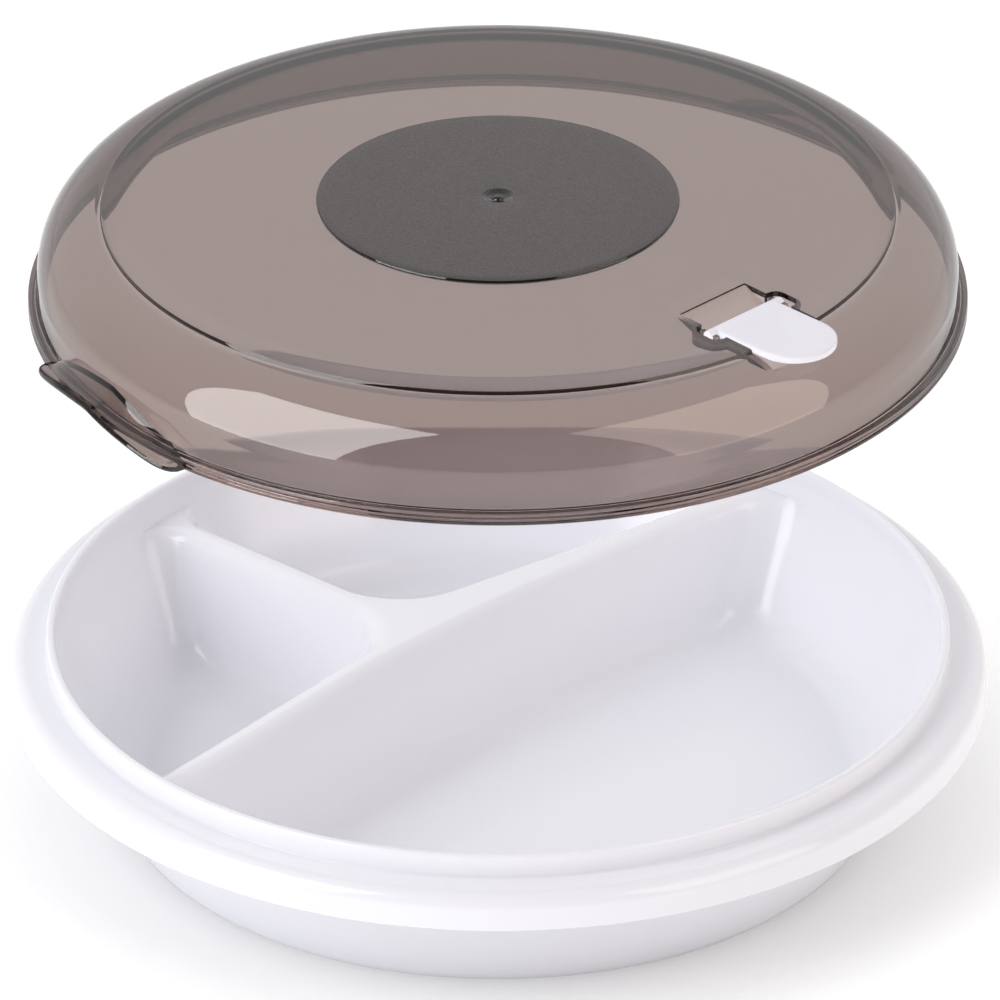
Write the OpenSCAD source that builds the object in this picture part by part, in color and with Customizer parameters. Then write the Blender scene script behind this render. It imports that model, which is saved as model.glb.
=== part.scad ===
// Round plate with three compartments and a smoked lid that lifts off.
// A small flap on the lid turns on two snap-in pins and opens a steam vent.
// Millimetres, +Z up. The origin is the middle of the foot, on the table.
// The lid is drawn held above the plate, by lid_lift from its seat on the lip.

/* [Plate] */
// Diameter over the skirt, the widest part
plate_d = 260; // [210:1:320]
// Height from the table to the top of the lip
plate_h = 48; // [42:0.5:60]
// Wall of the plate
plate_wall = 2.2; // [1.8:0.1:2.8]
// Width of the shelf from the outside of the lip to the outside of the skirt
shelf_w = 10.5; // [8:0.5:13]
// Drop from the top of the lip to the shelf
shelf_drop = 6.5; // [4:0.5:8]
// Height of the skirt below the shelf
skirt_h = 9.5; // [6:0.5:12]
// How far the foot is set in from the outside of the skirt
foot_inset = 28.6; // [22:0.1:34]
// Height of the compartment floors above the table
floor_h = 4; // [3:0.1:6]

/* [Dividers] */
// Height of the divider crests above the table
crest_h = 39; // [30:0.5:40]
// Width of a divider at its crest
crest_w = 7.6; // [6.5:0.1:10]
// Lean of the divider sides from upright, degrees
divider_draft = 10; // [6:0.5:12]
// Radius where a compartment's walls meet, in plan
corner_r = 13; // [9:0.5:16]
// Radius between a compartment's walls and its floor
floor_r = 8; // [5:0.5:9]
// Front left divider: angle from +X, degrees
front_divider_angle = 50.9; // [46:0.1:56]
// Front left divider: distance of its middle line from the centre
front_divider_offset = 24.6; // [20:0.1:28]
// Back right divider: angle from +X, degrees
back_divider_angle = 35.5; // [30:0.1:40]
// Back right divider: distance of its middle line from the centre
back_divider_offset = 32.2; // [28:0.1:36]
// Left divider: angle from +X, degrees
left_divider_angle = 139.4; // [134:0.1:144]
// Left divider: distance of its middle line from the centre
left_divider_offset = 3; // [0:0.1:6]

/* [Lid] */
// How far the lid is held above its seat
lid_lift = 100; // [40:1:160]
// Wall of the lid
lid_wall = 1.8; // [1.4:0.1:2.2]
// Gap between the lid's rim and the plate's lip
lid_gap = 0.6; // [0.3:0.1:1]
// Gap left between the lid's seat and the top of the lip
seat_gap = 0.3; // [0.3:0.1:0.6]
// Depth of the rebate in the rim that sits over the lip
rebate_h = 3; // [2:0.1:4]
// Height of the rim band
rim_band_h = 3.4; // [2.8:0.1:5]
// How far the rim band stands out from the skirt of the lid
rim_band_step = 2; // [1:0.1:2.4]
// Height from the rim to the edge of the flat top
lid_h = 27.6; // [26:0.1:36]
// Radius of the rounded shoulder
shoulder_r = 17; // [15:0.5:18]
// Height of the step between the shoulder and the flat top
top_step = 1.1; // [0.6:0.1:1.4]
// Rise of the flat top from its edge to its middle
top_crown = 1.7; // [0.5:0.1:3]
// Diameter of the textured disc in the middle of the top
disc_d = 93.6; // [60:0.1:110]
// How far the textured disc stands up
disc_rise = 0.4; // [0.2:0.1:0.8]

/* [Lift tabs] */
// Middle of the front lift tab, degrees from +X
front_tab_angle = 215.5; // [205:0.5:225]
// Middle of the back lift tab, degrees from +X
back_tab_angle = 45; // [35:0.5:55]
// Width of a lift tab along the rim
tab_w = 62; // [45:1:80]
// How far a lift tab stands out from the rim
tab_reach = 6; // [4:0.5:7.5]

/* [Vent flap] */
// Direction of the vent flap from the middle of the lid, degrees
flap_angle = -45; // [-60:1:-30]
// Distance of the flap's hinge inside the edge of the flat top
hinge_inset = 14.4; // [12:0.1:18]
// Width of the flap
flap_w = 22; // [20:0.5:23]
// Length of the flap from the hinge to its round tip
flap_len = 28.2; // [24:0.1:32]
// Thickness of the flap
flap_t = 2; // [1.6:0.1:2.4]
// Length over the two hinge pins
pin_span = 26.8; // [26.4:0.1:28]
// Diameter of the hinge pins
pin_d = 3.2; // [2.8:0.1:3.4]
// Radial clearance of a hinge pin in its seat
pin_gap = 0.08; // [0.03:0.01:0.1]
// Diameter of the steam hole
vent_d = 9; // [6:0.5:11]
// Gap at the sides of the flap
flap_gap = 0.8; // [0.5:0.1:1.2]

/* [Hidden] */

eps = 0.01;
round_fn = 180;
hull_fn = 32;
plate_white = [0.95, 0.95, 0.97];
smoke_grey = [0.33, 0.30, 0.29, 0.6];

// ---- plate
plate_r = plate_d / 2;
lip_r = plate_r - shelf_w;
foot_r = plate_r - foot_inset;
shelf_z = plate_h - shelf_drop;
skirt_z = shelf_z - skirt_h;
skirt_round = 4.4;                       // round edge between the shelf and the skirt
skirt_flare = 0.6;                       // the skirt leans out this much towards its edge
lip_edge = 0.5;
wall_top_r = lip_r - 1;                  // outside of the bowl, just under the shelf
wall_slope = (wall_top_r - foot_r) / (shelf_z - plate_wall);
wall_run = plate_wall * sqrt(1 + wall_slope * wall_slope);
divider_slope = tan(divider_draft);

function bowl_r(z) = foot_r - wall_run + wall_slope * z;
function arc(r, z, rad, a0, a1, n) =
    [for (i = [0:n]) let (a = a0 + (a1 - a0) * i / n) [r + rad * cos(a), z + rad * sin(a)]];

// each divider: angle of its middle line and distance of that line from the centre
DIVIDERS = [
    [front_divider_angle, front_divider_offset],
    [back_divider_angle, back_divider_offset],
    [left_divider_angle, left_divider_offset]
];
// each compartment: the two dividers beside it, and on which side of each it lies
COMPARTMENTS = [
    [[0, -1], [1, -1]],
    [[1, 1], [2, -1]],
    [[0, 1], [2, 1]]
];
FLOOR_STEPS = [0, 0.1, 0.25, 0.5, 1];    // heights of the fillet's rings, as parts of its radius

// everything on one side of a divider's middle line, kept back from it by `back`
module beside(divider, side, back) {
    rotate(divider[0])
        translate([-plate_d, side > 0 ? divider[1] + back : divider[1] - back - plate_d])
            square([2 * plate_d, plate_d]);
}

module compartment_outline(sides, arc_r, back, corner) {
    offset(r = corner, $fn = hull_fn) offset(delta = -corner) intersection() {
        circle(r = arc_r, $fn = 120);
        beside(DIVIDERS[sides[0][0]], sides[0][1], back);
        beside(DIVIDERS[sides[1][0]], sides[1][1], back);
    }
}

// the space of one compartment, or with grow = plate_wall the outside of its wall
module compartment(sides, grow, top) {
    fillet = floor_r + grow;
    low = floor_h - grow;
    grow_run = grow * wall_run / plate_wall;
    hull() for (z = concat([for (s = FLOOR_STEPS) low + s * fillet], [top])) {
        up = min(fillet, z - low);
        round_in = fillet - sqrt(fillet * fillet - (fillet - up) * (fillet - up));
        back = crest_w / 2 + (crest_h - z) * divider_slope + round_in - grow;
        translate([0, 0, z])
            linear_extrude(eps)
                compartment_outline(sides, bowl_r(z) + grow_run - round_in, back, corner_r + grow);
    }
}

// lip, shelf, skirt, bowl wall and foot: one wall all round
module plate_ring() {
    skirt_r = plate_r - skirt_round - skirt_flare;
    rotate_extrude($fn = round_fn) polygon(concat(
        [[lip_r - plate_wall, plate_h - lip_edge], [lip_r - plate_wall + lip_edge, plate_h],
         [lip_r - lip_edge, plate_h], [lip_r, plate_h - lip_edge], [lip_r, shelf_z]],
        arc(skirt_r, shelf_z - skirt_round, skirt_round, 90, 0, 6),
        [[plate_r, skirt_z], [plate_r - plate_wall, skirt_z]],
        arc(skirt_r, shelf_z - skirt_round, skirt_round - plate_wall, 0, 90, 4),
        [[wall_top_r, shelf_z - plate_wall], [foot_r, 0], [foot_r - wall_run, 0],
         [bowl_r(crest_h), crest_h], [lip_r - plate_wall, shelf_z]]
    ));
}

module divided_plate() {
    color(plate_white) difference() {
        union() {
            plate_ring();
            translate([0, 0, crest_h - plate_wall])
                cylinder(h = plate_wall, r = bowl_r(crest_h) + wall_run / 2, $fn = round_fn);
            for (sides = COMPARTMENTS) compartment(sides, plate_wall, crest_h - eps);
        }
        for (sides = COMPARTMENTS) compartment(sides, 0, crest_h + eps);
    }
}

// ---- lid, drawn from the underside of its rim
rim_z = plate_h + seat_gap - rebate_h + lid_lift;
rebate_r = lip_r + lid_gap;
rim_r = rebate_r + lid_wall;
skirt_top_r = rim_r - rim_band_step;
crease_r = skirt_top_r - 0.5 - shoulder_r;
shoulder_z = lid_h - top_step - shoulder_r;
crown_r = (crease_r * crease_r + top_crown * top_crown) / (2 * top_crown);

function top_z(r) = lid_h + top_crown - crown_r + sqrt(crown_r * crown_r - r * r);

// crowned top from its edge to the axis
function top_curve(down) = [for (i = [8:-1:0]) let (r = crease_r * i / 8) [r, top_z(r) - down]];

// outside of the lid, from the rim up to the axis
LID_OUTSIDE = concat(
    [[rim_r, 0], [rim_r, rim_band_h - 0.4], [rim_r - 0.4, rim_band_h], [skirt_top_r, rim_band_h]],
    arc(crease_r, shoulder_z, shoulder_r, 0, 84, 14),
    [[crease_r + 0.5, lid_h - top_step]],
    top_curve(0)
);
// inside of the lid, from the axis down to the rebate
LID_INSIDE = concat(
    [for (i = [0:8]) let (r = (crease_r - 0.6) * i / 8) [r, top_z(r) - lid_wall]],
    arc(crease_r, shoulder_z, shoulder_r - lid_wall, 84, 0, 14),
    [[skirt_top_r - lid_wall, rebate_h], [rebate_r, rebate_h], [rebate_r, 0]]
);

module lid_envelope() {
    rotate_extrude($fn = round_fn) polygon(concat(LID_OUTSIDE, [[0, 0]]));
}

module lid_shell() {
    rotate_extrude($fn = round_fn) polygon(concat(LID_OUTSIDE, LID_INSIDE));
}

// scooped grip that runs along part of the rim
module lift_tab(angle) {
    span = tab_w / rim_r * 180 / PI;
    tip_r = rim_r + tab_reach;
    root_r = skirt_top_r - 0.9;
    scoop = tip_r - root_r;
    rotate(angle - span / 2)
        rotate_extrude(angle = span, $fn = round_fn)
            polygon([[root_r, 3.6], [root_r, 11], [root_r + scoop * 0.3, 7.6], [root_r + scoop * 0.6, 6.6],
                     [tip_r, 8], [tip_r, 6.4], [root_r + scoop * 0.6, 4.9], [root_r + scoop * 0.2, 3.6]]);
}

// ---- vent, drawn with the hinge line along Y through the origin and the flap along +X
hinge_r = crease_r - hinge_inset;
hinge_z = top_z(hinge_r) - pin_d / 2;
pin_r = pin_d / 2;
vent_floor = hinge_z - pin_r - 1.2;
vent_x = 12;
ramp_len = 13;
recess_w = flap_w + 2 * flap_gap;
well_w = pin_span + 4;
well_back = 3.6;
well_front = 5.2;
well_round = 2.6;
bearing_t = 1.3;
flap_under = pin_r - flap_t;             // underside of the flap, above the hinge line
lift_out = 12;                           // cuts run this far above the lid

// puts something drawn at the hinge in its place on the lid
module at_hinge(z = 0) {
    rotate(flap_angle) translate([hinge_r, 0, z]) children();
}

module box_between(x0, x1, half_y, z0, z1) {
    translate([x0, -half_y, z0]) cube([x1 - x0, 2 * half_y, z1 - z0]);
}

// sloping ramp behind the flap and the channel below it, out through the shoulder
module flap_channel(grow, top) {
    low = vent_floor - grow;
    translate([0, recess_w / 2 + grow, 0]) rotate([90, 0, 0]) linear_extrude(recess_w + 2 * grow)
        polygon([[-ramp_len - grow, top_z(hinge_r - ramp_len)], [-well_back + 1 - grow, low],
                 [flap_len + 10, low], [flap_len + 10, top], [-ramp_len - grow, top]]);
}

// wells at both sides for the ends of the pins
module pin_wells(grow, top) {
    translate([0, 0, vent_floor - grow]) linear_extrude(top - vent_floor + grow)
        offset(r = well_round + grow, $fn = hull_fn) offset(delta = -well_round)
            translate([-well_back, -well_w / 2]) square([well_back + well_front, well_w]);
}

// snap-in seats for the pins: more than half of a round hole, open at the top
module pin_seats() {
    for (side = [-1, 1]) translate([0, side * (recess_w / 2 + bearing_t / 2), 0]) difference() {
        box_between(-pin_r - 1.2, pin_r + 1.2, bearing_t / 2, vent_floor - eps, hinge_z + pin_r * 0.5);
        translate([0, 0, hinge_z]) rotate([90, 0, 0])
            cylinder(h = bearing_t + 1, r = pin_r + pin_gap, center = true, $fn = 48);
    }
}

// raised ring that the flap closes onto
module vent_collar() {
    ring_h = hinge_z + flap_under - seat_gap - vent_floor;
    translate([vent_x, 0, vent_floor - eps]) cylinder(h = ring_h + eps, d = vent_d + 3, $fn = 64);
}

module lid() {
    color(smoke_grey) translate([0, 0, rim_z]) {
        difference() {
            union() {
                difference() {
                    union() {
                        lid_shell();
                        translate([0, 0, top_z(0) - lid_wall])
                            cylinder(h = lid_wall + disc_rise, d = disc_d, $fn = round_fn);
                        intersection() {
                            lid_envelope();
                            at_hinge() union() {
                                flap_channel(lid_wall, lid_h);
                                pin_wells(lid_wall, lid_h);
                            }
                        }
                    }
                    at_hinge() union() {
                        flap_channel(0, lid_h + lift_out);
                        pin_wells(0, lid_h + lift_out);
                    }
                }
                at_hinge() pin_seats();
                at_hinge() vent_collar();
                lift_tab(front_tab_angle);
                lift_tab(back_tab_angle);
            }
            at_hinge() translate([vent_x, 0, vent_floor - lid_wall - 1])
                cylinder(h = lift_out, d = vent_d, $fn = 64);
        }
    }
}

module vent_flap() {
    tip_r = flap_w / 2;
    color(plate_white) translate([0, 0, rim_z]) at_hinge(hinge_z) difference() {
        union() {
            rotate([90, 0, 0]) cylinder(h = pin_span, r = pin_r, center = true, $fn = 48);
            translate([0, 0, flap_under]) linear_extrude(flap_t) union() {
                translate([0, -tip_r]) square([flap_len - tip_r, flap_w]);
                translate([flap_len - tip_r, 0]) circle(r = tip_r, $fn = 96);
            }
        }
        translate([flap_len / 2, 0, pin_r + 26 - 0.5])
            sphere(r = 26, $fn = 96);
    }
}

divided_plate();
lid();
vent_flap();
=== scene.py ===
"""Divided plate with a smoked, vented lid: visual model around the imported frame.

Shapes are worked out in millimetres, in the frame's own axes, and turned to metres when a
mesh is made. The lid and flap are drawn from the underside of the lid's rim.
"""

import math

import bpy
import numpy as np
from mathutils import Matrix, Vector


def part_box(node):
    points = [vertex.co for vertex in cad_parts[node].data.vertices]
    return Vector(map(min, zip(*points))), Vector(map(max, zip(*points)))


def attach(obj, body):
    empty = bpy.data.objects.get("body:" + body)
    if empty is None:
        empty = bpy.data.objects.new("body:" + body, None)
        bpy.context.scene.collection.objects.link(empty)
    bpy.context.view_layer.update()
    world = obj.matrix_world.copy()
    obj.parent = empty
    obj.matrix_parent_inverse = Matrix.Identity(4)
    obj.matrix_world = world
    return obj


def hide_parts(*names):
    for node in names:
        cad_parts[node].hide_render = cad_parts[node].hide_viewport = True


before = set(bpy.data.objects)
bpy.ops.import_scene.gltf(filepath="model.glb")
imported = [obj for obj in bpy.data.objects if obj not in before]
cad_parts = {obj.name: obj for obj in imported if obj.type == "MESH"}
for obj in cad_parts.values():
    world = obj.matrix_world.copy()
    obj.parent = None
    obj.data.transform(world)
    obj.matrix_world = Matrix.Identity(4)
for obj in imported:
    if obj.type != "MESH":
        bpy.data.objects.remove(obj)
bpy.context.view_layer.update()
MM = 0.001


def node_box_mm(node):
    """Lowest and highest corner of a CAD node at rest, in millimetres."""
    low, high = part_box(node)
    return np.array(low) / MM, np.array(high) / MM


# ---------------------------------------------------------------- sizes, from the frame
_, PLATE_HIGH = node_box_mm("divided_plate")
LID_LOW, _ = node_box_mm("lid")
PLATE_H = float(PLATE_HIGH[2])
SKIRT_R = float(PLATE_HIGH[0])
RIM_Z = float(LID_LOW[2])

# the plate's walls
WALL = 2.2
SHELF_W = 10.5
SHELF_DROP = 6.5
SKIRT_H = 9.5
FOOT_INSET = 28.6
LIP_R = SKIRT_R - SHELF_W
SHELF_Z = PLATE_H - SHELF_DROP
SKIRT_Z = SHELF_Z - SKIRT_H
FOOT_R = SKIRT_R - FOOT_INSET
FLOOR_Z = 4.0
SKIRT_ROUND = 4.4
SKIRT_FLARE = 0.6
LIP_ROUND = 0.9
PLATE_EDGE = 0.35       # softened corner of the foot and skirt
UNDER_SHELF_R = LIP_R - 1.0
WALL_SLOPE = (UNDER_SHELF_R - FOOT_R) / (SHELF_Z - WALL)
WALL_RUN = WALL * math.hypot(1.0, WALL_SLOPE)

# the dividers
CREST_Z = 39.0
CREST_HALF = 3.8
CREST_ROUND = 3.4
DRAFT = math.tan(math.radians(10))
JOIN_ROUND = 18.0       # where two dividers meet, in plan
WALL_ROUND = 10.0       # where a divider meets the outer wall, in plan
FLOOR_ROUND = 8.0
DIVIDERS = {"front": (50.9, 24.6), "back": (35.5, 32.2), "left": (139.4, 3.0)}
COMPARTMENTS = {
    "large": (("front", -1), ("back", -1)),
    "back": (("back", 1), ("left", -1)),
    "left": (("front", 1), ("left", 1)),
}

# the lid
LID_WALL = 1.8
REBATE_H = 3.0
REBATE_R = LIP_R + 0.6
RIM_R = REBATE_R + LID_WALL
RIM_BAND_H = 3.4
RIM_EDGE = 0.3
RIM_GROOVE = 0.4
LID_SKIRT_R = RIM_R - 2.0
SHOULDER_R = 17.0
CREASE_R = LID_SKIRT_R - 0.5 - SHOULDER_R
LID_H = 27.6
TOP_STEP = 1.1
CROWN = 1.7
CROWN_R = (CREASE_R ** 2 + CROWN ** 2) / (2 * CROWN)
SHOULDER_Z = LID_H - TOP_STEP - SHOULDER_R
DISC_R = 46.8
DISC_RISE = 0.4
GATE_R = 4.2
TAB_ANGLES = (215.5, 45.0)
TAB_W = 62.0
TAB_REACH = 6.0
TAB_T = 1.6
CUT_TOP = LID_H + 12    # cutting blocks run this high

# the vent and its flap
FLAP_ANGLE = -45.0
HINGE_INSET = 14.4
HINGE_R = CREASE_R - HINGE_INSET
PIN_R = 1.6
PIN_GAP = 0.08
PIN_SPAN = 26.8
FLAP_W = 22.0
FLAP_LEN = 28.2
FLAP_T = 2.0
FLAP_GAP = 0.8
FLAP_EDGE = 0.45
FLAP_DISH = ((0.9, 0.0), (0.78, 0.03), (0.65, 0.12), (0.5, 0.26), (0.35, 0.38), (0.18, 0.46), (0, 0.48))
VENT_D = 9.0
VENT_X = 12.0
VENT_WALL = 1.0
COLLAR_W = 1.5
RAMP_LEN = 11.2
RAMP_FOOT = 2.6
RAMP_STEP = 0.45
WELL_BACK = 3.6
WELL_FRONT = 5.2
WELL_ROUND = 2.6
WELL_ROOM = 2.0         # beyond the ends of the pins
SEAT_T = 1.3
SEAT_HALF = 2.8

LATHE_STEPS = 360
CRISP_ANGLE = 32.0       # edges sharper than this stay crisp


def top_z(r):
    """Height of the lid's crowned top at a distance from the axis."""
    return LID_H + CROWN - CROWN_R + math.sqrt(CROWN_R ** 2 - r ** 2)


HINGE_Z = top_z(HINGE_R) - PIN_R
VENT_FLOOR = HINGE_Z - PIN_R - 0.4


# ---------------------------------------------------------------- mesh helpers
def only(obj):
    """Make one object the selected and active one."""
    bpy.ops.object.select_all(action="DESELECT")
    obj.select_set(True)
    bpy.context.view_layer.objects.active = obj


def arc(r, z, radius, start, end, steps):
    """Points of an arc in a profile, angles in degrees from straight out."""
    angles = np.radians(np.linspace(start, end, steps + 1))
    return [(r + radius * math.cos(a), z + radius * math.sin(a)) for a in angles]


def rolled(name, rings):
    """A grid primitive rolled up so that its rows lie on the given rings of points.

    rings has the shape (rows, columns, 3), in millimetres. The last column lies on the first.
    """
    rings = np.asarray(rings, float)
    rings = np.concatenate([rings, rings[:, :1]], axis=1)
    rows, columns = rings.shape[0] - 1, rings.shape[1] - 1
    bpy.ops.object.select_all(action="DESELECT")
    bpy.ops.mesh.primitive_grid_add(x_subdivisions=columns, y_subdivisions=rows, size=1.0)
    obj = bpy.context.active_object
    obj.name = obj.data.name = name
    flat = np.empty(len(obj.data.vertices) * 3)
    obj.data.vertices.foreach_get("co", flat)
    grid = flat.reshape(-1, 3)
    column = np.rint((grid[:, 0] + 0.5) * columns).astype(int)
    row = np.rint((grid[:, 1] + 0.5) * rows).astype(int)
    obj.data.vertices.foreach_set("co", (rings[row, column] * MM).ravel())
    obj.data.update()
    return obj


def sew(obj, gap=0.002):
    """Merge points that lie on each other, and point all faces outwards."""
    only(obj)
    bpy.ops.object.mode_set(mode="EDIT")
    bpy.ops.mesh.select_all(action="SELECT")
    bpy.ops.mesh.remove_doubles(threshold=gap * MM)
    bpy.ops.mesh.normals_make_consistent(inside=False)
    bpy.ops.object.mode_set(mode="OBJECT")
    return obj


def cap_open_edges(obj, one_loop=False):
    """Close the open loops of edges with flat faces; one wandering loop is filled in pieces."""
    only(obj)
    bpy.ops.object.mode_set(mode="EDIT")
    bpy.ops.mesh.select_mode(type="EDGE")
    bpy.ops.mesh.select_all(action="DESELECT")
    bpy.ops.mesh.select_non_manifold(extend=False, use_wire=False, use_multi_face=False,
                                     use_non_contiguous=False, use_verts=False)
    if one_loop:
        bpy.ops.mesh.fill(use_beauty=True)
    else:
        bpy.ops.mesh.edge_face_add()
    bpy.ops.mesh.select_mode(type="VERT")
    bpy.ops.object.mode_set(mode="OBJECT")
    return obj


def join(name, parts):
    """Join several objects into one."""
    bpy.ops.object.select_all(action="DESELECT")
    for part in parts:
        part.select_set(True)
    bpy.context.view_layer.objects.active = parts[0]
    bpy.ops.object.join()
    parts[0].name = parts[0].data.name = name
    return parts[0]


def combine(obj, tool, operation):
    """Add, cut or keep the shape of a closed tool, and remove the tool."""
    only(obj)
    modifier = obj.modifiers.new("combine", "BOOLEAN")
    modifier.operation = operation
    modifier.object = tool
    modifier.solver = "MANIFOLD"
    bpy.ops.object.modifier_apply(modifier=modifier.name)
    bpy.data.objects.remove(tool, do_unlink=True)
    return obj


def circle(steps, radius=1.0, x=0.0):
    """Points evenly spaced on a circle in plan."""
    turn = np.linspace(0.0, 2 * math.pi, steps, endpoint=False)
    return np.column_stack([x + radius * np.cos(turn), radius * np.sin(turn)])


def level(points, z):
    """A ring of points in plan, put at one height."""
    return np.column_stack([points, np.full(len(points), z)])


def lathe(name, profile):
    """Spin a profile of (radius, height) points round the axis."""
    around = circle(LATHE_STEPS)
    return rolled(name, [level(r * around, z) for r, z in profile])


def smooth(obj):
    """Smooth shading, with sharp edges kept crisp, and no materials yet."""
    only(obj)
    bpy.ops.object.shade_smooth_by_angle(angle=math.radians(CRISP_ANGLE))
    obj.data.materials.clear()
    obj.data.polygons.foreach_set("material_index", [0] * len(obj.data.polygons))


def place_lid(obj):
    """Raise something drawn from the underside of the lid's rim to the lid's own height."""
    only(obj)
    obj.location = (0, 0, RIM_Z * MM)
    bpy.ops.object.transform_apply(location=True, rotation=True, scale=True)


def at_hinge(obj):
    """Move something drawn at the hinge, with the flap along +X, to its place on the lid."""
    turn = math.radians(FLAP_ANGLE)
    only(obj)
    obj.rotation_euler = (0, 0, turn)
    obj.location = (HINGE_R * math.cos(turn) * MM, HINGE_R * math.sin(turn) * MM, 0)
    bpy.ops.object.transform_apply(location=True, rotation=True, scale=True)
    return obj


# ---------------------------------------------------------------- materials
def linear(hex_colour):
    """An sRGB hex colour as linear red, green, blue and 1."""
    value = hex_colour.lstrip("#")
    parts = [int(value[i:i + 2], 16) / 255 for i in (0, 2, 4)]
    curve = [c / 12.92 if c <= 0.04045 else ((c + 0.055) / 1.055) ** 2.4 for c in parts]
    return (*curve, 1.0)


def add_node(owner, kind, links=None, **settings):
    """Add one shader node, set its sockets and properties, and link its inputs."""
    tree = owner.node_tree
    node = tree.nodes.new(kind)
    for key, value in settings.items():
        if key in node.inputs:
            node.inputs[key].default_value = value
        elif hasattr(node, key):
            setattr(node, key, value)
        else:
            node.inputs[key.replace("_", " ")].default_value = value
    for key, source in (links or {}).items():
        tree.links.new(source, node.inputs[key])
    return node


def new_material(name):
    """An empty material, its shader and its Object coordinates."""
    material = bpy.data.materials.new(name)
    material.use_nodes = True
    shader = material.node_tree.nodes["Principled BSDF"]
    place = add_node(material, "ShaderNodeTexCoord").outputs["Object"]
    return material, shader, place


def white_polypropylene(name, colour, roughness):
    """Injection moulded polypropylene, polished mould: a glossy, faintly waxy white.

    Light goes a millimetre or two into the plastic, so edges look soft. Slow flow marks from
    moulding, 20 to 30 mm apart, wave the reflections a little.
    """
    material, shader, place = new_material(name)
    flow = add_node(material, "ShaderNodeTexNoise", {"Vector": place}, Scale=38.0, Detail=2.0)
    grain = add_node(material, "ShaderNodeTexNoise", {"Vector": place}, Scale=900.0, Detail=3.0)
    gloss = add_node(material, "ShaderNodeMapRange", {"Value": flow.outputs["Fac"]},
                     From_Min=0.3, From_Max=0.7, To_Min=roughness - 0.03, To_Max=roughness + 0.05)
    wave = add_node(material, "ShaderNodeBump", {"Height": flow.outputs["Fac"]},
                    Strength=0.05, Distance=0.0004)
    skin = add_node(material, "ShaderNodeBump",
                    {"Height": grain.outputs["Fac"], "Normal": wave.outputs["Normal"]},
                    Strength=0.03, Distance=0.00005)
    links = material.node_tree.links
    links.new(gloss.outputs["Result"], shader.inputs["Roughness"])
    links.new(skin.outputs["Normal"], shader.inputs["Normal"])
    shader.inputs["Base Color"].default_value = linear(colour)
    shader.inputs["IOR"].default_value = 1.49
    shader.inputs["Subsurface Weight"].default_value = 0.06
    shader.inputs["Subsurface Radius"].default_value = (1.0, 0.95, 0.9)
    shader.inputs["Subsurface Scale"].default_value = 0.0015
    return material


def smoked_clear_plastic(name, textured):
    """Smoke-tinted clear styrene copolymer, injection moulded in a polished mould.

    Most of the tint is in the depth of the plastic, so walls seen edge on and thick corners
    turn almost black, and both faces reflect the studio. The disc's mould was spark eroded,
    which leaves grains about 0.5 mm across that mottle it and blur what lies behind.
    """
    material, shader, place = new_material(name)
    links = material.node_tree.links
    if textured:
        grit = add_node(material, "ShaderNodeTexNoise", {"Vector": place}, Scale=1300.0, Detail=3.0,
                        Roughness=0.75)
        relief = add_node(material, "ShaderNodeBump", {"Height": grit.outputs["Fac"]},
                          Strength=0.6, Distance=0.0006)
        mottle = add_node(material, "ShaderNodeValToRGB", {"Fac": grit.outputs["Fac"]})
        mottle.color_ramp.elements[0].position = 0.36
        mottle.color_ramp.elements[0].color = linear("#6F625E")
        mottle.color_ramp.elements[1].position = 0.66
        mottle.color_ramp.elements[1].color = linear("#A08F89")
        links.new(mottle.outputs["Color"], shader.inputs["Base Color"])
        roughness = 0.3
    else:
        flow = add_node(material, "ShaderNodeTexNoise", {"Vector": place}, Scale=22.0, Detail=2.0)
        relief = add_node(material, "ShaderNodeBump", {"Height": flow.outputs["Fac"]},
                          Strength=0.04, Distance=0.0006)
        shader.inputs["Base Color"].default_value = linear("#ECDFDB")
        roughness = 0.02
    links.new(relief.outputs["Normal"], shader.inputs["Normal"])
    shader.inputs["Roughness"].default_value = roughness
    shader.inputs["IOR"].default_value = 1.57
    shader.inputs["Transmission Weight"].default_value = 1.0
    smoke = add_node(material, "ShaderNodeVolumeAbsorption", Density=1000.0)
    smoke.inputs["Color"].default_value = (0.48, 0.41, 0.39, 1.0)
    links.new(smoke.outputs["Volume"], material.node_tree.nodes["Material Output"].inputs["Volume"])
    return material


# ---------------------------------------------------------------- the plate
def bowl_r(z):
    """Radius of the inside of the bowl's wall at a height."""
    return FOOT_R - WALL_RUN + WALL_SLOPE * z


def rounded_meet(first, second, radius):
    """Distance inside two walls at once, with the corner between them rounded."""
    a, b = radius - first, radius - second
    corner = radius - np.hypot(np.maximum(a, 0), np.maximum(b, 0))
    return np.where((a > 0) & (b > 0), corner, np.minimum(first, second))


def beside(points, divider, side):
    """Distance from a divider's middle line, positive on the given side."""
    angle, offset = DIVIDERS[divider]
    turn = math.radians(angle)
    return side * (points @ np.array([-math.sin(turn), math.cos(turn)]) - offset)


def wall_set_back(z):
    """How far a compartment's wall stands inside a divider's middle line, and its fillet."""
    up = min(FLOOR_ROUND, max(0.0, z - FLOOR_Z))
    fillet = FLOOR_ROUND - math.sqrt(FLOOR_ROUND ** 2 - (FLOOR_ROUND - up) ** 2)
    over = max(0.0, z - (CREST_Z - CREST_ROUND))
    crest = CREST_ROUND - math.sqrt(CREST_ROUND ** 2 - over ** 2)
    return CREST_HALF + (CREST_Z - z) * DRAFT + fillet - crest, fillet


def room(points, walls, z):
    """How deep points lie inside a compartment's outline at a height."""
    back, fillet = wall_set_back(z)
    first, second = (beside(points, *wall) - back for wall in walls)
    outer = bowl_r(z) - fillet - np.hypot(points[:, 0], points[:, 1])
    return rounded_meet(rounded_meet(first, second, JOIN_ROUND), outer, WALL_ROUND)


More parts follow.
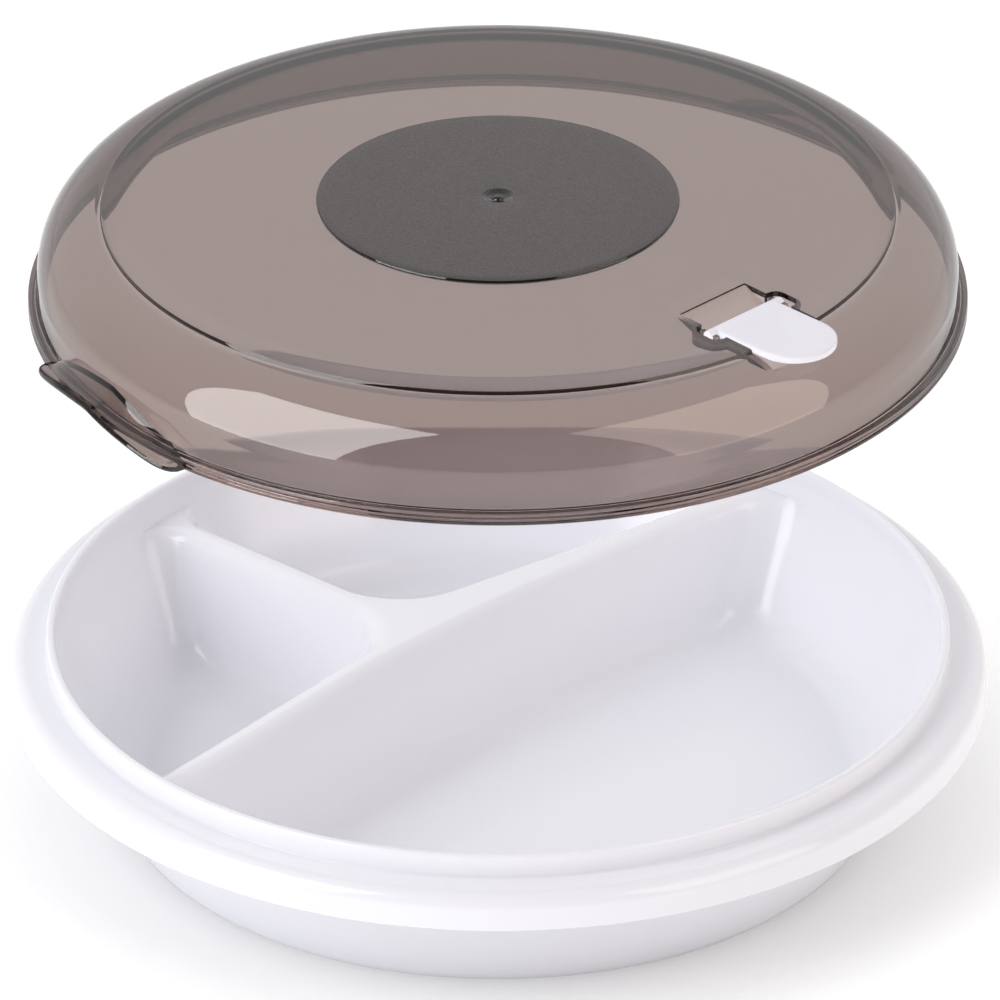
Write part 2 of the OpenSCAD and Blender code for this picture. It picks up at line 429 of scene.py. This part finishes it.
def outline(middle, ways, walls, z):
    """Where the outline of a compartment at a height crosses each way out of its middle."""
    near, far = np.zeros(len(ways)), np.full(len(ways), 2 * SKIRT_R)
    for _ in range(40):
        reach = (near + far) / 2
        inside = room(middle + ways * reach[:, None], walls, z) > 0
        near, far = np.where(inside, reach, near), np.where(inside, far, reach)
    return middle + ways * near[:, None]


def compartment_columns(middle, walls):
    """Ways out of a compartment's middle: through the lathe's points on the outer wall, and
    evenly spaced along the dividers."""
    wall = bowl_r(CREST_Z) * circle(LATHE_STEPS)
    back, _ = wall_set_back(CREST_Z)
    clear = rounded_meet(*(beside(wall, *side) - back for side in walls), JOIN_ROUND) >= WALL_ROUND
    towards = np.arctan2(*(wall[clear] - middle).T[::-1]) % (2 * math.pi)
    towards = np.sort(towards)
    gaps = np.diff(np.append(towards, towards[0] + 2 * math.pi))
    widest = int(np.argmax(gaps))
    sweep = towards[widest] + np.linspace(0, gaps[widest], 4000)
    edge = outline(middle, np.column_stack([np.cos(sweep), np.sin(sweep)]), walls, CREST_Z)
    run = np.concatenate([[0], np.cumsum(np.linalg.norm(np.diff(edge, axis=0), axis=1))])
    count = int(run[-1] / 1.3)
    along = np.interp(np.linspace(0, run[-1], count)[1:-1], run, sweep)
    angles = np.sort(np.concatenate([towards, along % (2 * math.pi)]))
    return np.column_stack([np.cos(angles), np.sin(angles)])


def compartment_heights():
    """Heights of the rings down a compartment's wall: crest, wall and fillet."""
    crest = [CREST_Z - CREST_ROUND * (1 - math.cos(math.radians(a))) for a in range(0, 80, 11)]
    wall = np.linspace(crest[-1], FLOOR_Z + FLOOR_ROUND, 9)[1:]
    fillet = [FLOOR_Z + FLOOR_ROUND * (1 - math.cos(math.radians(a))) for a in range(80, -1, -8)]
    return crest + list(wall) + fillet


def compartment(name, walls):
    """The inside of one compartment, from the crest of its dividers down to its floor."""
    spread = np.array([[x, y] for x in range(-110, 111, 5) for y in range(-110, 111, 5)], float)
    depth = room(spread, walls, CREST_Z)
    middle = np.average(spread[depth > 0], axis=0, weights=depth[depth > 0])
    ways = compartment_columns(middle, walls)
    rings = []
    for z in compartment_heights():
        edge = outline(middle, ways, walls, z)
        rings.append(level(edge, z))
    floor = rings[-1]
    centre = np.array([*middle, FLOOR_Z])
    for share in (0.9, 0.75, 0.5, 0.25, 0.0):
        rings.append(centre + share * (floor - centre))
    return rolled(name, rings)


def plate_profile():
    """Section of the plate's outer wall, from the middle of its underside to the crests."""
    edge = PLATE_EDGE
    round_r = SKIRT_R - SKIRT_ROUND - SKIRT_FLARE
    under_z = FLOOR_Z - WALL
    foot_in = FOOT_R - WALL_RUN
    lip_in = LIP_R - WALL
    points = [(0, under_z), (40, under_z), (80, under_z)]
    points += [(foot_in - 0.8, under_z), (foot_in, under_z - 0.8)]
    points += [(foot_in, edge), (foot_in + edge, 0), (FOOT_R - edge, 0), (FOOT_R, edge)]
    points += [(FOOT_R + WALL_SLOPE * z, z) for z in np.linspace(2, SHELF_Z - WALL - 2, 9)]
    points += [(UNDER_SHELF_R, SHELF_Z - WALL - 0.6), (UNDER_SHELF_R + 0.6, SHELF_Z - WALL)]
    points += arc(round_r, SHELF_Z - SKIRT_ROUND, SKIRT_ROUND - WALL, 90, 0, 6)
    points += [(SKIRT_R - WALL, SKIRT_Z + edge), (SKIRT_R - WALL + edge, SKIRT_Z)]
    points += [(SKIRT_R - edge, SKIRT_Z), (SKIRT_R, SKIRT_Z + edge)]
    points += arc(round_r, SHELF_Z - SKIRT_ROUND, SKIRT_ROUND, 0, 90, 12)
    points += arc(LIP_R + 0.8, SHELF_Z + 0.8, 0.8, 270, 180, 4)
    points += [(LIP_R, SHELF_Z + 3)]
    points += arc(LIP_R - LIP_ROUND, PLATE_H - LIP_ROUND, LIP_ROUND, 0, 90, 5)
    points += arc(lip_in + LIP_ROUND, PLATE_H - LIP_ROUND, LIP_ROUND, 90, 180, 5)
    in_step = lip_in - bowl_r(CREST_Z)
    start = SHELF_Z + 3
    points += [(lip_in - in_step * t * t, start - (start - CREST_Z) * t) for t in np.linspace(0, 1, 7)]
    return points


def make_plate():
    """White moulding: skirted rim, foot, three compartments and the crests between them."""
    parts = [lathe("divided_plate_moulding", plate_profile())]
    parts += [compartment(name, walls) for name, walls in COMPARTMENTS.items()]
    plate = sew(join("divided_plate_moulding", parts))
    cap_open_edges(plate, one_loop=True)
    sew(plate)
    smooth(plate)
    plate.data.materials.append(
        white_polypropylene("polypropylene_white_moulded_gloss", "#EEEEF5", 0.13))
    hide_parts("divided_plate")
    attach(plate, "plate")
    return plate


# ---------------------------------------------------------------- the lid
def lid_outside():
    """Outer section of the lid, from the rim up to the gate mark on the axis."""
    points = [(RIM_R - RIM_EDGE, 0), (RIM_R, RIM_EDGE)]
    for z in (0.9, 1.8):
        points += [(RIM_R, z), (RIM_R - RIM_GROOVE, z + 0.3), (RIM_R, z + 0.6)]
    points += [(RIM_R, RIM_BAND_H - 0.5), (RIM_R - 0.15, RIM_BAND_H - 0.15)]
    points += [(RIM_R - 0.5, RIM_BAND_H), (LID_SKIRT_R + 0.5, RIM_BAND_H)]
    points += [(LID_SKIRT_R + 0.1, RIM_BAND_H + 0.15), (LID_SKIRT_R, RIM_BAND_H + 0.6)]
    points += arc(CREASE_R, SHOULDER_Z, SHOULDER_R, 0, 84, 30)
    points += [(CREASE_R + 0.6, LID_H - TOP_STEP), (CREASE_R + 0.4, LID_H - TOP_STEP + 0.1)]
    points += [(CREASE_R + 0.25, LID_H - 0.3), (CREASE_R + 0.05, LID_H - 0.05)]
    points += [(CREASE_R - 0.4, top_z(CREASE_R - 0.4))]
    points += [(r, top_z(r)) for r in np.linspace(CREASE_R - 4, DISC_R + 0.15, 12)]
    edge = top_z(DISC_R)
    points += [(DISC_R, edge + DISC_RISE * 0.8), (DISC_R - 0.15, edge + DISC_RISE)]
    points += [(r, top_z(r) + DISC_RISE) for r in np.linspace(DISC_R - 3, GATE_R, 8)]
    gate = top_z(0) + DISC_RISE
    points += [(3.7, gate - 0.1), (3.0, gate - 0.6), (1.7, gate - 0.75), (1.3, gate - 0.3)]
    points += [(0.9, gate - 0.1), (0.4, gate - 0.03), (0, gate - 0.02)]
    return points


def lid_inside():
    """Inner section of the lid, from the axis down to the rebate in the rim."""
    inner = SHOULDER_R - LID_WALL
    points = [(r, top_z(r) - LID_WALL) for r in np.linspace(0, CREASE_R - 1.2, 14)]
    points += arc(CREASE_R, SHOULDER_Z, inner, 86, 0, 26)
    points += [(LID_SKIRT_R - LID_WALL, REBATE_H + 0.2), (LID_SKIRT_R - LID_WALL + 0.2, REBATE_H)]
    points += [(REBATE_R - 0.15, REBATE_H), (REBATE_R, REBATE_H - 0.15)]
    points += [(REBATE_R, RIM_EDGE), (REBATE_R + RIM_EDGE, 0)]
    return points


def lift_tab(angle):
    """A scooped grip along the rim: its root arches up the skirt and runs down into the rim on
    one side, and its edge curls up to a tip on the other."""
    half = TAB_W / RIM_R / 2
    across = np.linspace(0, 1, 11)
    rings = []
    for s in np.linspace(-1, 1, 81):
        out = math.sqrt(1 - abs(s) ** 9) if s < 0 else math.sqrt(1 - s ** 14)
        root_z = 11.7 - (6.5 * s * s if s < 0 else 9.0 * s ** 1.1)
        edge_z = 8.2 - (3.7 * s * s if s < 0 else 6.2 * s ** 0.85)
        root_z = max(root_z, edge_z + 0.6)
        root_r = LID_SKIRT_R - 1.0 + 2.1 * min(1, max(0, (5.4 - root_z) / 1.2))
        edge_r = RIM_R - 0.6 + (TAB_REACH + 0.6) * out
        top = []
        for t in across:
            sag = 0.26 * (root_z - 2.6) * 4 * t * (1 - t)
            top.append((root_r + (edge_r - root_r) * t, root_z + (edge_z - root_z) * t - sag))
        under = [(r - 0.5 * t, z - TAB_T) for (r, z), t in zip(top, across)]
        lip = [(edge_r + 0.25, edge_z - 0.5), (edge_r + 0.15, edge_z - 1.1)]
        r, z = np.array(top + lip + under[::-1]).T
        turn = math.radians(angle) + half * s
        rings.append(np.column_stack([r * math.cos(turn), r * math.sin(turn), np.maximum(z, 0.2)]))
    tab = sew(rolled("lift_tab", rings))
    cap_open_edges(tab)
    return sew(tab)


def prism(name, outline_points, low, high):
    """A closed block with an outline in plan, from one height to another."""
    points = np.asarray(outline_points, float)
    block = sew(rolled(name, [level(points, low), level(points, high)]))
    cap_open_edges(block)
    return sew(block)


def rounded_box(x0, x1, half, radius, steps=6):
    """Outline of a rectangle with round corners, anticlockwise."""
    points = []
    for cx, cy, a in ((x1, half, 0), (x0, half, 90), (x0, -half, 180), (x1, -half, 270)):
        sx, sy = (-1 if cx == x1 else 1), (-1 if cy > 0 else 1)
        points += arc(cx + sx * radius, cy + sy * radius, radius, a, a + 90, steps)
    return points


def vent_channel(grow=0.0):
    """The ramp behind the flap and the channel under it, as a block; grow adds its wall."""
    low = VENT_FLOOR - grow
    back = -RAMP_LEN - grow
    front = FLAP_LEN + 10
    ramp_z = top_z(HINGE_R - RAMP_LEN) - RAMP_STEP - grow
    side = [(back, ramp_z), (-RAMP_FOOT - grow, low), (front, low), (front, CUT_TOP), (back, CUT_TOP)]
    half = FLAP_W / 2 + FLAP_GAP + grow
    rings = [[(x, y, z) for x, z in side] for y in (half, -half)]
    block = sew(rolled("channel", rings))
    cap_open_edges(block)
    return at_hinge(sew(block))


def pin_wells(grow=0.0):
    """The two wells for the ends of the pins, as one block across the hinge."""
    half = PIN_SPAN / 2 + WELL_ROOM + grow
    plan = rounded_box(-WELL_BACK - grow, WELL_FRONT + grow, half, WELL_ROUND + grow)
    return at_hinge(prism("wells", plan, VENT_FLOOR - grow, CUT_TOP))


def pin_seat(side):
    """A snap-in seat for one end of the hinge pins, open at the top."""
    middle = side * (FLAP_W / 2 + FLAP_GAP + SEAT_T / 2)
    seat_top = HINGE_Z + 0.8
    section = [(-SEAT_HALF, VENT_FLOOR - 0.5), (SEAT_HALF, VENT_FLOOR - 0.5), (SEAT_HALF, seat_top)]
    section += [(x, HINGE_Z + z) for x, z in arc(0, 0, PIN_R + PIN_GAP, 28, -208, 28)]
    section += [(-SEAT_HALF, seat_top)]
    rings = [[(x, middle + y, z) for x, z in section] for y in (SEAT_T / 2, -SEAT_T / 2)]
    seat = sew(rolled("pin_seat", rings))
    cap_open_edges(seat)
    return at_hinge(sew(seat))


def make_lid():
    """Smoke-tinted moulding with its rim, shoulder, crowned top, lift tabs and vent."""
    lid = sew(lathe("lid_moulding", lid_inside() + lid_outside()))
    envelope = sew(lathe("envelope", [(0, 0)] + lid_outside()))
    trough = combine(vent_channel(VENT_WALL), pin_wells(VENT_WALL), "UNION")
    combine(trough, envelope, "INTERSECT")
    combine(lid, trough, "UNION")
    combine(lid, vent_channel(), "DIFFERENCE")
    combine(lid, pin_wells(), "DIFFERENCE")
    for side in (-1, 1):
        combine(lid, pin_seat(side), "UNION")
    collar = circle(64, VENT_D / 2 + COLLAR_W, VENT_X)
    collar_top = HINGE_Z + PIN_R - FLAP_T - 0.3
    combine(lid, at_hinge(prism("collar", collar, VENT_FLOOR - 0.5, collar_top)), "UNION")
    hole = circle(64, VENT_D / 2, VENT_X)
    combine(lid, at_hinge(prism("hole", hole, VENT_FLOOR - VENT_WALL - 1, CUT_TOP)), "DIFFERENCE")
    for angle in TAB_ANGLES:
        combine(lid, lift_tab(angle), "UNION")
    place_lid(lid)
    smooth(lid)
    lid.data.materials.append(smoked_clear_plastic("styrene_smoked_clear_polished", False))
    lid.data.materials.append(smoked_clear_plastic("styrene_smoked_spark_eroded_disc", True))
    for face in lid.data.polygons:
        r = math.hypot(face.center.x, face.center.y) / MM
        if GATE_R < r < DISC_R - 0.1:
            face.material_index = 1
    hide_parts("lid")
    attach(lid, "lid")
    lid.visible_shadow = False
    lid.visible_diffuse = False
    return lid


# ---------------------------------------------------------------- the vent flap
def flap_outline(inset):
    """Outline of the D-shaped flap in plan, kept in from its edge."""
    half = FLAP_W / 2 - inset
    corner = 0.8
    points = arc(FLAP_LEN - FLAP_W / 2, 0, half, -90, 90, 48)
    points += arc(inset + corner, half - corner, corner, 90, 180, 4)
    points += arc(inset + corner, -half + corner, corner, 180, 270, 4)
    return np.array(points)


def make_flap():
    """White flap with a shallow dish in its top, and the two pins it turns on."""
    low, high = HINGE_Z + PIN_R - FLAP_T, HINGE_Z + PIN_R
    middle = np.array([FLAP_LEN / 2, 0.0])
    plain = flap_outline(FLAP_EDGE)
    rings = [level(middle + share * (plain - middle), low) for share in (0, 0.5, 1)]
    for a in (30, 60, 90):
        turn = math.radians(a)
        up = FLAP_EDGE * (1 - math.cos(turn))
        rings.append(level(flap_outline(FLAP_EDGE * (1 - math.sin(turn))), low + up))
    for a in (90, 60, 30, 0):
        turn = math.radians(a)
        down = FLAP_EDGE * (1 - math.cos(turn))
        rings.append(level(flap_outline(FLAP_EDGE * (1 - math.sin(turn))), high - down))
    rings += [level(middle + share * (plain - middle), high - drop) for share, drop in FLAP_DISH]
    flap = at_hinge(sew(rolled("vent_flap_moulding", rings)))
    turn = math.radians(FLAP_ANGLE)
    bpy.ops.object.select_all(action="DESELECT")
    bpy.ops.mesh.primitive_cylinder_add(
        vertices=48, radius=PIN_R * MM, depth=PIN_SPAN * MM,
        location=(HINGE_R * math.cos(turn) * MM, HINGE_R * math.sin(turn) * MM, HINGE_Z * MM),
        rotation=(math.pi / 2, 0, turn))
    pins = bpy.context.active_object
    bpy.ops.object.transform_apply(location=True, rotation=True, scale=True)
    bevel = pins.modifiers.new("edge", "BEVEL")
    bevel.width, bevel.segments, bevel.limit_method = 0.4 * MM, 3, "ANGLE"
    bpy.ops.object.modifier_apply(modifier=bevel.name)
    combine(flap, pins, "UNION")
    place_lid(flap)
    smooth(flap)
    flap.data.materials.append(
        white_polypropylene("polypropylene_white_moulded_satin", "#E9E8F1", 0.3))
    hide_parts("vent_flap")
    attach(flap, "flap")
    return flap


# ---------------------------------------------------------------- studio
SOFTBOX_AWAY = 1.6
SOFTBOX_RAISED = 30.0
SOFTBOX_TARGET = (0, 0, 0.1)


def aim(obj, target):
    """Turn a light or camera so that it looks at a point."""
    way = Vector(target) - obj.location
    obj.rotation_euler = way.to_track_quat("-Z", "Y").to_euler()


def softbox(name, azimuth, width, height, power, colour="#FFFFFF"):
    """A rectangular soft light, placed by its direction from the object."""
    az, el = math.radians(azimuth), math.radians(SOFTBOX_RAISED)
    place = (SOFTBOX_AWAY * math.cos(el) * math.cos(az), SOFTBOX_AWAY * math.cos(el) * math.sin(az),
             SOFTBOX_TARGET[2] + SOFTBOX_AWAY * math.sin(el))
    bpy.ops.object.light_add(type="AREA", location=place)
    light = bpy.context.active_object
    light.name = name
    light.data.shape = "RECTANGLE"
    light.data.size, light.data.size_y = width, height
    light.data.energy = power
    light.data.color = linear(colour)[:3]
    aim(light, SOFTBOX_TARGET)
    return light


def make_floor():
    """White paper floor, out of view on all sides. It glows evenly further out, and its glow drops
    under and around the plate: a painted contact shadow.
    """
    bpy.ops.object.select_all(action="DESELECT")
    bpy.ops.mesh.primitive_grid_add(x_subdivisions=8, y_subdivisions=8, size=12.0)
    floor = bpy.context.active_object
    floor.name = "studio_floor"
    material, shader, place = new_material("studio_floor_white_paper_with_painted_contact_shadow")
    shader.inputs["Base Color"].default_value = linear("#DDDDDD")
    shader.inputs["Roughness"].default_value = 0.9
    shader.inputs["Emission Color"].default_value = linear("#FFFFFF")
    reach = add_node(material, "ShaderNodeVectorMath", {"Vector": place}, operation="LENGTH")
    # Emission strength falls towards the plate's middle: a painted soft contact shadow round the foot,
    # with an even glow further out.
    emission_with_painted_shadow = add_node(material, "ShaderNodeMapRange", {"Value": reach.outputs["Value"]},
                    interpolation_type="SMOOTHSTEP", From_Min=0.085, From_Max=0.17,
                    To_Min=0.08, To_Max=0.48)
    material.node_tree.links.new(emission_with_painted_shadow.outputs["Result"], shader.inputs["Emission Strength"])
    floor.data.materials.append(material)


def light_only(lights, pieces):
    """Let some lights shine on some pieces only, as flagged boxes do in a studio."""
    lit = bpy.data.collections.new("lit_by_" + lights[0].name)
    for piece in pieces:
        lit.objects.link(piece)
    for light in lights:
        light.light_linking.receiver_collection = lit


def make_studio(plate, lid, flap):
    """A surround that is white behind and dark on the camera's side, and two pairs of
    softboxes, one for the plate, flap and floor and one for the clear lid."""
    world = bpy.data.worlds.new("studio_surround")
    bpy.context.scene.world = world
    world.use_nodes = True
    way = add_node(world, "ShaderNodeTexCoord").outputs["Generated"]
    split = add_node(world, "ShaderNodeSeparateXYZ", {"Vector": way})
    fade = add_node(world, "ShaderNodeMapRange", {"Value": split.outputs["Y"]},
                    From_Min=-0.35, From_Max=0.65, To_Min=0.12, To_Max=1.0)
    background = world.node_tree.nodes["Background"]
    background.inputs["Color"].default_value = (1, 1, 1, 1)
    world.node_tree.links.new(fade.outputs["Result"], background.inputs["Strength"])
    left = softbox("softbox_left", 215, 1.1, 1.3, 18)
    right = softbox("softbox_right", 325, 1.1, 1.3, 10.5, "#FFF6EE")
    light_only([left, right], [plate, flap, bpy.data.objects["studio_floor"]])
    left = softbox("lid_softbox_left", 214, 1.3, 2.1, 46)
    right = softbox("lid_softbox_right", 331, 1.35, 2.1, 20, "#FFF0E2")
    light_only([left, right], [lid])
    bpy.context.scene.view_settings.view_transform = "Standard"
    bpy.context.scene.view_settings.look = "None"


def make_camera():
    """Long lens looking down at the object from the front."""
    distance, elevation, height = 2.5, math.radians(29.03), 0.0851
    place = (0, -distance * math.cos(elevation), height + distance * math.sin(elevation))
    bpy.ops.object.camera_add(location=place)
    camera = bpy.context.active_object
    camera.name = "camera"
    camera.data.sensor_width = 36.0
    camera.data.lens = 342.5
    camera.data.shift_x = 0.0021
    camera.data.clip_end = 50
    aim(camera, (0, 0, height))
    bpy.context.scene.camera = camera


make_camera()
make_floor()
make_studio(make_plate(), make_lid(), make_flap())
